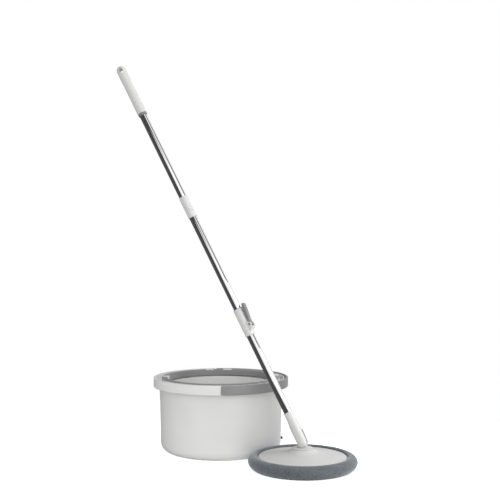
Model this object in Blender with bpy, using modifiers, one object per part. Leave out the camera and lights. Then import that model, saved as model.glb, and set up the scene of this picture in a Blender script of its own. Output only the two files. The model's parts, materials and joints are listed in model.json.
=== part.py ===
"""Spin mop: a round bucket with a spinning basket, and a flat round mop beside it.

Metres, +Z up. The origin is the middle of the bucket's base, +X is to the right and
+Y to the back. Run it with blender --background --python part.py.
"""
import bpy
import bmesh
from math import cos, pi, radians, sin
from mathutils import Matrix, Vector

# ---------------------------------------------------------------- driving dimensions
GAP = 0.0003                    # left between two pieces that touch
RUN = 0.0004                    # left round a piece that turns or slides

BUCKET_TURN = radians(4.6)      # the bail's axis is turned by this in plan
BODY_FOOT_R = 0.1792            # bucket body, outside, above the bottom fillet
BODY_TOP_R = 0.1831             # and under the rim
BODY_WALL = 0.0026
FOOT_FILLET = 0.025
LIP_TOP = 0.2135                # top of the inner lip, which carries the splash ring
LIP_R = 0.1737                  # inside of that lip
LIP_WALL = 0.0025
WEB_LOW = 0.1868                # underside of the rim
TROUGH_FLOOR = 0.1930
BAND_R = 0.1900                 # narrow band of the rim, behind the bail
RIM_R = 0.2012                  # wide band, and the outside of the bail
RIM_TOP = 0.2155
BAND_WALL = 0.0025
BUCKET_STEPS = 48

BAIL_INNER_R = 0.1940
BAIL_PIVOT_Z = 0.2070
BAIL_LOW = 0.1888
BAIL_END_R = 0.0088             # round end about the pivot
BAIL_TAPER = radians(13)        # the lower edge rises to the round end over this angle
STUD_R = 0.0030

RING_INNER_R = 0.1614
RING_LOW = 0.1980
RING_TOP = 0.2160
NOTCH_ANGLES = (radians(80.5), radians(99.5))
NOTCH_WIDTH = 0.029

BASKET_FLOOR = 0.0840
BASKET_TOP = 0.1950
BASKET_R = 0.1590
SPINDLE_R = 0.0048

DRAIN_Z = 0.032
DRAIN_R = 0.0034

PIVOT = Vector((0.2294, -0.2368, 0.0700))   # fork pin, over the middle of the pad
LEAN = radians(27.85)           # handle's lean from upright
LEAN_TURN = radians(20.0)       # its lean plane, turned from the X axis
PAD_R = 0.150
PAD_HEIGHT = 0.035
PLATE_R = 0.122
PLATE_TOP = 0.0525
HUB_R = 0.029
TONGUE_HALF = 0.0055

# Stations along the handle, from the fork pin
SLOT_TOP = 0.0310
NECK_TOP = 0.0877
CLAMP_LOW, CLAMP_TOP = 0.3213, 0.4022
LEVER_PIN = 0.3495
LEVER_TIP = 0.4110
JOIN_LOW, JOIN_TOP = 0.6963, 0.7628
GRIP_LOW, GRIP_TOP = 1.0455, 1.2086

LOWER_R, LOWER_WALL = 0.0116, 0.00035
UPPER_R, UPPER_WALL = 0.01105, 0.0004
LOWER_FOOT, LOWER_TOP = 0.0345, 0.3415
MIDDLE_FOOT = 0.2800
SEAM = 0.7295                   # the two upper tubes meet here, inside the joint
UPPER_TOP = 1.1655

BAR_LEAD = 0.080                # the twisted bar turns once in this length
BAR_HALF_WIDTH, BAR_HALF_THICK = 0.0040, 0.0011
BAR_FOOT, BAR_TWIST_FROM, BAR_TOP = 0.056, 0.072, 0.316
NUT_WEB = 0.2890
NUT_WEB_THICK = 0.0020

LEVER_TURN = radians(-7.0)      # lever's side of the handle, turned towards the front
LEVER_PIN_R = 0.0170            # pin's distance from the handle's axis
HOLE_TURN = radians(17.8)       # hanging hole, turned so that it runs front to back
HOLE_AT = 1.1910

# ---------------------------------------------------------------- scene and materials
for old in list(bpy.data.objects):
    bpy.data.objects.remove(old, do_unlink=True)

parts = bpy.data.collections.new("spin_mop")
cutters = bpy.data.collections.new("cutters")
for group in (parts, cutters):
    bpy.context.scene.collection.children.link(group)


def finish(name, colour, roughness, metallic=0.0):
    made = bpy.data.materials.new(name)
    made.use_nodes = True
    shader = made.node_tree.nodes["Principled BSDF"]
    shader.inputs["Base Color"].default_value = (*colour, 1.0)
    shader.inputs["Roughness"].default_value = roughness
    shader.inputs["Metallic"].default_value = metallic
    made.diffuse_color = (*colour, 1.0)
    return made


FINISHES = {
    "white": ((0.66, 0.66, 0.65), 0.38, 0.0),
    "grey": ((0.27, 0.27, 0.27), 0.42, 0.0),
    "dark": ((0.05, 0.05, 0.05), 0.55, 0.0),
    "pale": ((0.60, 0.60, 0.59), 0.40, 0.0),
    "chrome": ((0.78, 0.78, 0.78), 0.12, 1.0),
    "steel": ((0.55, 0.55, 0.55), 0.30, 1.0),
    "pile": ((0.17, 0.19, 0.21), 0.95, 0.0),
    "cloth": ((0.40, 0.41, 0.42), 0.90, 0.0),
}


def empty(name, location, rotation=(0, 0, 0), parent=None):
    made = bpy.data.objects.new(name, None)
    parts.objects.link(made)
    made.parent = parent
    made.location = location
    made.rotation_euler = rotation
    return made


def place(name, mesh, look, parent, location=(0, 0, 0), rotation=(0, 0, 0)):
    """Link a mesh as a named part, smooth with sharp edges kept, in its own material."""
    made = bpy.data.objects.new(name, mesh)
    mesh.name = name
    if look is None:
        cutters.objects.link(made)
        made.hide_render = True
        made.display_type = "WIRE"
    else:
        parts.objects.link(made)
        mesh.shade_smooth()
        mesh.set_sharp_from_angle(angle=radians(35))
        mesh.materials.append(finish(name, *FINISHES[look]))
    made.parent = parent
    made.location = location
    made.rotation_euler = rotation
    return made


# ---------------------------------------------------------------- shapes
def arc(centre, radius, start, end, steps):
    """Points of an arc in a profile's plane, with angles in degrees from +X."""
    angles = [radians(start + (end - start) * i / steps) for i in range(steps + 1)]
    return [(centre[0] + radius * cos(a), centre[1] + radius * sin(a)) for a in angles]


def turned(name, outline, look, parent, steps=32, ring=False, **where):
    """Turn an outline of (radius, height) about Z. A ring's outline closes on itself."""
    mesh = bpy.data.meshes.new(name)
    count = len(outline)
    edges = [(i, i + 1) for i in range(count - 1)]
    if ring:
        edges.append((count - 1, 0))
    mesh.from_pydata([(r, 0, z) for r, z in outline], edges, [])
    made = place(name, mesh, look, parent, **where)
    screw = made.modifiers.new("turn", "SCREW")
    screw.steps = screw.render_steps = steps
    screw.use_merge_vertices = True
    screw.merge_threshold = 0.00001
    screw.use_smooth_shade = True
    return made


def tube(name, outer, wall, low, high, look, parent, steps=32):
    inner = outer - wall
    outline = [(outer, high), (outer, low), (inner, low), (inner, high)]
    return turned(name, outline, look, parent, steps, ring=True)


def plate(name, outline, thickness, look, parent, **where):
    """A flat outline given as (x, z), extruded half its thickness each way along Y."""
    curve = bpy.data.curves.new(name, "CURVE")
    curve.dimensions = "2D"
    curve.fill_mode = "BOTH"
    curve.extrude = thickness / 2
    spline = curve.splines.new("POLY")
    spline.points.add(len(outline) - 1)
    for point, (x, z) in zip(spline.points, outline):
        point.co = (x, z, 0, 1)
    spline.use_cyclic_u = True
    holder = bpy.data.objects.new(name + "_outline", curve)
    bpy.context.scene.collection.objects.link(holder)
    bpy.context.view_layer.update()
    ready = holder.evaluated_get(bpy.context.evaluated_depsgraph_get())
    mesh = bpy.data.meshes.new_from_object(ready)
    bpy.data.objects.remove(holder, do_unlink=True)
    mesh.transform(Matrix.Rotation(pi / 2, 4, "X"))
    shape = bmesh.new()
    shape.from_mesh(mesh)
    bmesh.ops.remove_doubles(shape, verts=shape.verts, dist=0.00001)
    bmesh.ops.recalc_face_normals(shape, faces=shape.faces)
    shape.to_mesh(mesh)
    shape.free()
    return place(name, mesh, look, parent, **where)


def block(name, low, high, look, parent, **where):
    """A box between two corners."""
    shape = bmesh.new()
    size = [b - a for a, b in zip(low, high)]
    middle = [(a + b) / 2 for a, b in zip(low, high)]
    place_at = Matrix.Translation(middle) @ Matrix.Diagonal((*size, 1))
    bmesh.ops.create_cube(shape, size=1, matrix=place_at)
    mesh = bpy.data.meshes.new(name)
    shape.to_mesh(mesh)
    shape.free()
    return place(name, mesh, look, parent, **where)


def rod(name, radius, low, high, axis, look, parent, steps=20, **where):
    """A cylinder along X, Y or Z of its own frame, from low to high."""
    shape = bmesh.new()
    bmesh.ops.create_cone(shape, cap_ends=True, segments=steps, radius1=radius,
                          radius2=radius, depth=high - low)
    bmesh.ops.translate(shape, verts=shape.verts, vec=(0, 0, (low + high) / 2))
    turn = {"X": Matrix.Rotation(pi / 2, 3, "Y"), "Y": Matrix.Rotation(-pi / 2, 3, "X"),
            "Z": Matrix.Identity(3)}[axis]
    bmesh.ops.rotate(shape, verts=shape.verts, matrix=turn)
    mesh = bpy.data.meshes.new(name)
    shape.to_mesh(mesh)
    shape.free()
    return place(name, mesh, look, parent, **where)


def sector(name, outline, start, sweep, steps, look, parent, **where):
    """Sweep a closed outline of (radius, height) round Z, from one angle to another."""
    shape = bmesh.new()
    corners = [shape.verts.new((r * cos(start), r * sin(start), z)) for r, z in outline]
    face = shape.faces.new(corners)
    bmesh.ops.spin(shape, geom=[face, *face.verts, *face.edges], cent=(0, 0, 0),
                   axis=(0, 0, 1), angle=sweep, steps=steps)
    bmesh.ops.recalc_face_normals(shape, faces=shape.faces)
    mesh = bpy.data.meshes.new(name)
    shape.to_mesh(mesh)
    shape.free()
    return place(name, mesh, look, parent, **where)


def loft(name, sections, look, parent, **where):
    """Join rings of the same number of points, lowest first, and close both ends."""
    shape = bmesh.new()
    rings = [[shape.verts.new(p) for p in section] for section in sections]
    for low, high in zip(rings, rings[1:]):
        for i in range(len(low)):
            j = (i + 1) % len(low)
            shape.faces.new((low[i], low[j], high[j], high[i]))
    shape.faces.new(list(reversed(rings[0])))
    shape.faces.new(rings[-1])
    mesh = bpy.data.meshes.new(name)
    shape.to_mesh(mesh)
    shape.free()
    return place(name, mesh, look, parent, **where)


def combine(target, how, *tools):
    for tool in tools:
        step = target.modifiers.new(f"{how.lower()}_{tool.name}", "BOOLEAN")
        step.operation = how
        step.object = tool
        step.solver = "EXACT"
    return target


def soften(target, width, segments=2):
    bevel = target.modifiers.new("soften", "BEVEL")
    bevel.width = width
    bevel.segments = segments
    bevel.limit_method = "ANGLE"
    bevel.angle_limit = radians(40)
    return target


# ---------------------------------------------------------------- bucket
bucket_axis = empty("bucket_axis", (0, 0, 0), (0, 0, BUCKET_TURN))


def build_bucket_shell():
    inner_foot = BODY_FOOT_R - BODY_WALL
    inner_top = BODY_TOP_R - BODY_WALL
    fillet = FOOT_FILLET - BODY_WALL
    outline = [(0, 0.0034)]
    outline += arc((inner_foot - fillet, 0.0034 + fillet), fillet, -90, 0, 4)
    outline += [(inner_top, WEB_LOW - 0.002), (LIP_R, WEB_LOW + 0.003), (LIP_R, LIP_TOP)]
    outline += [(LIP_R + LIP_WALL, LIP_TOP), (LIP_R + LIP_WALL, TROUGH_FLOOR)]
    outline += [(BAND_R - BAND_WALL, TROUGH_FLOOR), (BAND_R - BAND_WALL, LIP_TOP)]
    outline += [(BAND_R, LIP_TOP), (BAND_R, WEB_LOW + 0.003), (BODY_TOP_R, WEB_LOW)]
    outline += arc((BODY_FOOT_R - FOOT_FILLET, FOOT_FILLET), FOOT_FILLET, 0, -90, 5)
    outline += [(0, 0)]
    shell = turned("bucket_shell", outline, "white", bucket_axis, BUCKET_STEPS)

    # The left half of the rim is wider, and its trough is open up to the wide band.
    start, sweep = radians(90 + 3.2), radians(180 - 6.4)
    band = [(RIM_R, RIM_TOP), (RIM_R, WEB_LOW + 0.0035), (RIM_R - 0.0025, WEB_LOW + 0.001),
            (BAND_R - 0.0050, WEB_LOW + 0.0030), (BAND_R - 0.0050, TROUGH_FLOOR),
            (RIM_R - 0.0030, TROUGH_FLOOR), (RIM_R - 0.0030, RIM_TOP)]
    trough_low, trough_high = LIP_R + LIP_WALL + 0.0002, RIM_R - 0.003
    trough = [(trough_high, RIM_TOP + 0.01), (trough_high, TROUGH_FLOOR + 0.0002),
              (trough_low, TROUGH_FLOOR + 0.0002), (trough_low, RIM_TOP + 0.01)]
    wide = sector("wide_band", band, start, sweep, 25, None, bucket_axis)
    clear = sector("wide_trough", trough, start + 0.012, sweep - 0.024, 25, None, bucket_axis)
    combine(shell, "UNION", wide)
    combine(shell, "DIFFERENCE", clear)

    # Two tabs of the lip stand in the splash ring's notches.
    for number, angle in enumerate(NOTCH_ANGLES):
        half = NOTCH_WIDTH / 2 / LIP_R - 0.004
        inner, outer = LIP_R + 0.0004, LIP_R + LIP_WALL - 0.0006
        tab = [(outer, RIM_TOP + 0.0012), (outer, LIP_TOP - 0.003),
               (inner, LIP_TOP - 0.003), (inner, RIM_TOP + 0.0012)]
        combine(shell, "UNION", sector(f"lip_tab_{number}", tab, angle - half, 2 * half, 4,
                                       None, bucket_axis))
    for side in (-1, 1):
        combine(shell, "DIFFERENCE",
                rod(f"stud_hole_{side}", 0.0025, BAND_R - 0.0065, BAND_R + 0.0035, "Y", None,
                    bucket_axis, 12, location=(0, 0, BAIL_PIVOT_Z),
                    rotation=(0, 0, 0 if side > 0 else pi)))
    combine(shell, "DIFFERENCE",
            rod("drain_hole", DRAIN_R + GAP, 0.170, 0.195, "X", None, None, 16,
                location=(0, 0, DRAIN_Z)))


def build_bail():
    """Carrying handle, folded down along the right half of the rim."""
    middle = (BAIL_INNER_R + RIM_R) / 2
    low, high = BAIL_LOW, RIM_TOP
    outline = [(RIM_R, high - 0.002), (RIM_R, low + 0.002), (RIM_R - 0.002, low),
               (BAIL_INNER_R + 0.001, low), (BAIL_INNER_R, low + 0.001),
               (BAIL_INNER_R, high - 0.001), (BAIL_INNER_R + 0.001, high), (RIM_R - 0.002, high)]
    bail = sector("bail", outline, -pi / 2, pi, 40, "grey", bucket_axis,
                  location=(0, 0, 0))
    for vert in bail.data.vertices:
        if vert.co.z < middle and vert.co.z < BAIL_PIVOT_Z:
            from_end = min(1.0, abs(vert.co.x) / (middle * sin(BAIL_TAPER)))
            ease = from_end * from_end * (3 - 2 * from_end)
            depth = BAIL_PIVOT_Z - vert.co.z
            vert.co.z = BAIL_PIVOT_Z - (depth * ease + min(depth, BAIL_END_R) * (1 - ease))
    bail.data.transform(Matrix.Translation((0, 0, -BAIL_PIVOT_Z)))
    bail.location = (0, 0, BAIL_PIVOT_Z)
    for side in (-1, 1):
        turn = (0, 0, 0 if side > 0 else pi)
        lobe = rod(f"bail_end_{side}", BAIL_END_R, BAIL_INNER_R, RIM_R - 0.0002, "Y", None,
                   bucket_axis, 28, location=(0, 0, BAIL_PIVOT_Z), rotation=turn)
        bore = rod(f"bail_bore_{side}", STUD_R + RUN, 0.185, 0.21, "Y", None, bucket_axis, 20,
                   location=(0, 0, BAIL_PIVOT_Z), rotation=turn)
        combine(bail, "UNION", lobe)
        combine(bail, "DIFFERENCE", bore)
    # The studs that the bail turns on: a tail in the rim, a journal and a flat head.
    stud = [(0, RIM_R + 0.0018), (0.0040, RIM_R + 0.0018), (0.0048, RIM_R + 0.0012),
            (0.0048, RIM_R + GAP), (STUD_R, RIM_R + GAP), (STUD_R, BAND_R + GAP),
            (0.0022, BAND_R + GAP), (0.0022, BAND_R - 0.003), (0, BAND_R - 0.003)]
    for name, lean in (("bail_stud_front", pi / 2), ("bail_stud_rear", -pi / 2)):
        turned(name, stud, "grey", bucket_axis, 16, location=(0, 0, BAIL_PIVOT_Z),
               rotation=(lean, 0, 0))


def build_splash_ring():
    wall, flange_low, skirt_low = 0.0021, RING_TOP - 0.0045, RING_LOW + 0.005
    outer = LIP_R - RUN
    outline = [(LIP_R + 0.003, RING_TOP - 0.0005), (LIP_R + 0.003, LIP_TOP + GAP),
               (outer, LIP_TOP + GAP), (outer, skirt_low), (outer - 0.002, skirt_low),
               (outer - 0.002, flange_low), (RING_INNER_R + wall, flange_low),
               (RING_INNER_R + wall, RING_LOW), (RING_INNER_R, RING_LOW),
               (RING_INNER_R + 0.0004, RING_TOP - 0.0018), (RING_INNER_R + 0.002, RING_TOP),
               (LIP_R + 0.0025, RING_TOP)]
    ring = turned("splash_ring", outline, "grey", bucket_axis, BUCKET_STEPS, ring=True)
    for number, angle in enumerate(NOTCH_ANGLES):
        half = NOTCH_WIDTH / 2 / LIP_R
        out, back = LIP_R + 0.0085, RING_INNER_R - 0.005
        floor, above = RING_TOP - 0.0032, RING_TOP + 0.006
        notch = [(out, above), (out, floor), (LIP_R - 0.0065, floor), (back, floor + 0.0008),
                 (back, above)]
        combine(ring, "DIFFERENCE", sector(f"ring_notch_{number}", notch, angle - half,
                                           2 * half, 4, None, bucket_axis))
    # A clip hooks over the ring on each side.
    inside = RING_INNER_R - GAP - 0.0006
    hook = [(inside - 0.0059, RING_TOP + 0.0022), (inside - 0.0061, RING_TOP - 0.0100),
            (inside - 0.0033, RING_TOP - 0.0108), (inside, RING_TOP - 0.0060),
            (inside, RING_TOP + GAP), (LIP_R - 0.0005, RING_TOP + GAP),
            (LIP_R + 0.0001, RING_TOP + 0.0022)]
    for name, angle in (("ring_clip_right", 0.0), ("ring_clip_left", pi)):
        clip = plate(name, hook, 0.018, "white", bucket_axis, rotation=(0, 0, angle))
        soften(clip, 0.0005, 1)


def build_basket():
    bore = 0.0088
    floor, under = BASKET_FLOOR + 0.0025, BASKET_FLOOR
    foot_r, fillet = BASKET_R - 0.0045, 0.010
    outline = [(0.016, 0.0965), (0.017, floor)]
    outline += arc((foot_r - 0.0022 - fillet, floor + fillet), fillet, -90, 0, 3)
    outline += [(BASKET_R - 0.0022, BASKET_TOP), (BASKET_R, BASKET_TOP)]
    outline += arc((foot_r - fillet - 0.001, under + fillet + 0.001), fillet + 0.001, 0, -90, 3)
    outline += [(0.017, under), (0.016, 0.0807), (bore, 0.0807), (bore, 0.0965)]
    basket = turned("spin_basket", outline, "pale", bucket_axis, BUCKET_STEPS, ring=True)
    slots = 12
    for number in range(slots):
        slot = block(f"basket_slot_{number}", (0.050, -0.004, 0.07), (0.125, 0.004, 0.10), None,
                     bucket_axis, rotation=(0, 0, 2 * pi * (number + 0.5) / slots))
        combine(basket, "DIFFERENCE", slot)

    bush = [(0.0085, 0.0985), (0.0085, 0.0804), (0.0130, 0.0804), (0.0130, 0.0783),
            (SPINDLE_R + RUN, 0.0783), (SPINDLE_R + RUN, 0.0985)]
    turned("basket_bush", bush, "dark", bucket_axis, 20, ring=True)
    spindle = [(0, 0.112), (SPINDLE_R - 0.0008, 0.112), (SPINDLE_R, 0.111), (SPINDLE_R, 0.078),
               (0.0095, 0.078), (0.0095, 0.014), (0.012, 0.010), (0.030, 0.009),
               (0.030, 0.0034 + GAP), (0, 0.0034 + GAP)]
    turned("spindle", spindle, "steel", bucket_axis, 20)
    cap_bore = SPINDLE_R + GAP
    cap = [(0, 0.1155), (0.0080, 0.1155), (0.0105, 0.1130), (0.0105, 0.0990),
           (cap_bore, 0.0990), (cap_bore, 0.1123), (0, 0.1123)]
    turned("spindle_cap", cap, "grey", bucket_axis, 20)


def build_drain():
    """Rubber plug low on the right side, with its washer, on the X axis."""
    face = BODY_FOOT_R + 0.0010
    plug = [(0, face + 0.0048), (0.0032, face + 0.0048), (0.0044, face + 0.0036),
            (0.0048, face + 0.0012 + GAP), (DRAIN_R, face + 0.0012 + GAP),
            (DRAIN_R - GAP, face - 0.0072), (0.0026, face - 0.0083), (0, face - 0.0083)]
    washer = [(0.0052, face + 0.0011), (0.0052, face), (DRAIN_R + GAP, face),
              (DRAIN_R + GAP, face + 0.0011)]
    side = {"location": (0, 0, DRAIN_Z), "rotation": (0, pi / 2, 0)}
    turned("drain_plug", plug, "dark", None, 18, **side)
    turned("drain_seal", washer, "dark", None, 18, ring=True, **side)


# ---------------------------------------------------------------- mop head
head_axis = empty("head_axis", (PIVOT.x, PIVOT.y, 0), (0, 0, -LEAN_TURN))
handle_axis = empty("handle_axis", PIVOT, (0, -LEAN, -LEAN_TURN))
lever_axis = empty("lever_axis", (0, 0, 0), (0, 0, LEVER_TURN), handle_axis)


def build_pad():
    """Soft round pad with a recess for the plate."""
    edge = PAD_HEIGHT / 2
    outline = [(0, 0.0120), (0.1240, 0.0120), (0.1262, 0.0300)]
    outline += arc((PAD_R - 0.0180, edge), edge, 112, -90, 7)
    outline = [(r if z > edge * 2 or r < PAD_R - 0.018 else
                PAD_R - 0.018 + (r - PAD_R + 0.018) * 0.018 / edge, z) for r, z in outline]
    outline += [(0, 0)]
    turned("pad", outline, "pile", head_axis, 40)
    backing = [(0, 0.0143), (0.1185, 0.0143), (0.1185, 0.0123), (0, 0.0123)]
    turned("pad_backing", backing, "cloth", head_axis, 32)


def build_plate():
    bell = [(0.0290, 0.0), (0.0330, 0.0022), (0.0380, 0.0062), (0.0440, 0.0092),
            (0.0560, 0.0120), (0.0850, 0.0165), (0.1190, 0.0212)]
    wall, bore = 0.0024, 0.0028
    outline = [(bore, PLATE_TOP)] + [(r, PLATE_TOP - drop) for r, drop in bell]
    outline += [(PLATE_R, PLATE_TOP - 0.0238), (PLATE_R, 0.0146), (PLATE_R - wall, 0.0146)]
    outline += [(PLATE_R - wall, PLATE_TOP - 0.0246)]
    outline += [(r - wall * 0.4, PLATE_TOP - drop - wall) for r, drop in reversed(bell)]
    outline += [(bore, PLATE_TOP - wall)]
    turned("head_plate", outline, "pale", head_axis, 48, ring=True)
    under = PLATE_TOP - wall - GAP
    screw = [(0, 0.0610), (0.0022, 0.0605), (0.0022, under), (0.0058, under),
             (0.0058, under - 0.0030), (0.0048, under - 0.0038), (0, under - 0.0038)]
    turned("hub_screw", screw, "steel", head_axis, 14)


def build_hub():
    """Flange on the plate, with the tongue that the fork is pinned to."""
    low, high = PLATE_TOP + GAP, PLATE_TOP + GAP + 0.0022
    flange = [(0, high + 0.0008), (0.0180, high + 0.0008), (0.0270, high), (HUB_R, high - 0.0008),
              (HUB_R, low), (0, low)]
    hub = turned("hub", flange, "pale", head_axis, 36)
    round_top = arc((0, PIVOT.z), 0.0095, 170, 10, 10)
    outline = [(-0.0150, low + 0.001)] + [(-0.0120, high + 0.002)] + round_top
    outline += [(0.0120, high + 0.002), (0.0150, low + 0.001)]
    tongue = plate("tongue", outline, 2 * TONGUE_HALF, None, head_axis)
    bore = rod("tongue_bore", 0.0024, -0.02, 0.02, "Y", None, head_axis, 20,
               location=(0, 0, PIVOT.z))
    screw_hole = rod("screw_hole", 0.0025, 0.050, 0.0615, "Z", None, head_axis, 18)
    combine(hub, "UNION", tongue)
    combine(hub, "DIFFERENCE", bore, screw_hole)


# ---------------------------------------------------------------- lower shaft
def build_neck():
    """Socket for the lower tube, swelling down into the fork."""
    points = 28

    def section(height, half_x, half_y, power):
        ring = []
        for i in range(points):
            c, s = cos(2 * pi * i / points), sin(2 * pi * i / points)
            x = half_x * abs(c) ** (2 / power) * (1 if c >= 0 else -1)
            y = half_y * abs(s) ** (2 / power) * (1 if s >= 0 else -1)
            ring.append((x, y, height))
        return ring

    shapes = [(-0.0135, 0.0130, 0.0150, 2.7), (-0.0060, 0.0138, 0.0165, 2.7),
              (0.0100, 0.0145, 0.0172, 2.7), (0.0300, 0.0150, 0.0170, 2.5),
              (0.0450, 0.0148, 0.0160, 2.3), (0.0620, 0.0138, 0.0144, 2.1),
              (0.0800, 0.0131, 0.0132, 2.0), (0.0862, 0.0130, 0.0130, 2.0),
              (NECK_TOP, 0.0124, 0.0124, 2.0)]
    neck = loft("neck", [section(*shape) for shape in shapes], "white", handle_axis)
    round_end = [(-0.02, 0.10), (-0.02, 0.014), (-0.0128, 0.004)]
    round_end += arc((0, 0), 0.0126, 190, 350, 14) + [(0.0128, 0.004), (0.02, 0.014), (0.02, 0.10)]
    combine(neck, "INTERSECT", plate("fork_outline", round_end, 0.05, None, handle_axis))
    slot_solid = [(-0.03, -0.03), (0.03, -0.03), (0.03, SLOT_TOP - 0.002), (0.026, SLOT_TOP),
                  (-0.026, SLOT_TOP), (-0.03, SLOT_TOP - 0.002)]
    half_slot = TONGUE_HALF + RUN
    combine(neck, "DIFFERENCE",
            plate("fork_slot", slot_solid, 2 * half_slot, None, handle_axis),
            rod("fork_bore", 0.0024, -0.03, 0.03, "Y", None, handle_axis, 20),
            rod("neck_socket", LOWER_R + GAP, LOWER_FOOT - 0.0008, 0.1, "Z", None, handle_axis, 32),
            rod("button_hole", 0.0030, 0.010, 0.020, "X", None, handle_axis, 16,
                location=(0, 0, 0.0415)))
    button = [(0, 0.0155), (0.0014, 0.0153), (0.0024, 0.0146), (0.0027, 0.0136),
              (0.0027, LOWER_R + GAP), (0, LOWER_R + GAP)]
    turned("neck_button", button, "white", handle_axis, 16, location=(0, 0, 0.0415),
           rotation=(0, pi / 2, 0))
    # The fork's pin, and the clip on its far end.
    face = 0.0172 + GAP
    pin = [(0, face + 0.0014), (0.0026, face + 0.0014), (0.0038, face + 0.0006), (0.0038, face),
           (0.0020, face), (0.0020, -face - 0.0020), (0, -face - 0.0020)]
    turned("fork_pin", pin, "white", handle_axis, 20, rotation=(pi / 2, 0, 0))
    clip = [(0.0042, -face), (0.0042, -face - 0.0011), (0.0023, -face - 0.0011), (0.0023, -face)]
    turned("pin_clip", clip, "steel", handle_axis, 20, ring=True, rotation=(pi / 2, 0, 0))


def twist_at(height):
    return max(0.0, height - BAR_TWIST_FROM) * 2 * pi / BAR_LEAD


def build_drive():
    """Twisted bar in the lower tube, and the slotted nut that rides along it."""
    tube("lower_tube", LOWER_R, LOWER_WALL, LOWER_FOOT, LOWER_TOP, "chrome", handle_axis)
    anchor_r = LOWER_R - LOWER_WALL - GAP
    anchor = turned("bar_anchor", [(0, 0.070), (anchor_r, 0.070), (anchor_r, LOWER_FOOT + 0.001),
                                   (0, LOWER_FOOT + 0.001)], "dark", handle_axis, 24)
    combine(anchor, "DIFFERENCE",
            block("anchor_slot", (-BAR_HALF_WIDTH - GAP, -BAR_HALF_THICK - GAP, BAR_FOOT - GAP),
                  (BAR_HALF_WIDTH + GAP, BAR_HALF_THICK + GAP, 0.08), None, handle_axis))

    step = BAR_LEAD / 18
    count = round((BAR_TOP - BAR_TWIST_FROM) / step)
    heights = [BAR_FOOT] + [BAR_TWIST_FROM + (BAR_TOP - BAR_TWIST_FROM) * i / count
                            for i in range(count + 1)]
    sections = []
    for height in heights:
        c, s = cos(twist_at(height)), sin(twist_at(height))
        corners = [(-1, -1), (1, -1), (1, 1), (-1, 1)]
        sections.append([(c * x * BAR_HALF_WIDTH - s * y * BAR_HALF_THICK,
                          s * x * BAR_HALF_WIDTH + c * y * BAR_HALF_THICK, height)
                         for x, y in corners])
    loft("twisted_bar", sections, "steel", handle_axis)
    turned("bar_stop", [(0, BAR_TOP + 0.0040), (0.0038, BAR_TOP + 0.0040), (0.0046, BAR_TOP + 0.0030),
                        (0.0046, BAR_TOP + GAP), (0, BAR_TOP + GAP)], "steel", handle_axis, 16)

    nut_r = UPPER_R - UPPER_WALL - GAP
    web_top = NUT_WEB + NUT_WEB_THICK
    nut_outline = [(0, web_top), (0.0056, web_top), (0.0056, 0.3030), (nut_r, 0.3030),
                   (nut_r, NUT_WEB - 0.003), (0.0056, NUT_WEB - 0.003), (0.0056, NUT_WEB),
                   (0, NUT_WEB)]
    nut = turned("drive_nut", nut_outline, "white", handle_axis, 24)
    margin = 0.00045
    slot = block("nut_slot", (-BAR_HALF_WIDTH - margin, -BAR_HALF_THICK - margin, -0.003),
                 (BAR_HALF_WIDTH + margin, BAR_HALF_THICK + margin, 0.003), None, handle_axis,
                 location=(0, 0, NUT_WEB + NUT_WEB_THICK / 2),
                 rotation=(0, 0, twist_at(NUT_WEB + NUT_WEB_THICK / 2)))
    combine(nut, "DIFFERENCE", slot)
    tube("clutch_ring", nut_r, nut_r - 0.0060, 0.3033, 0.3120, "steel", handle_axis, 24)


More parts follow.
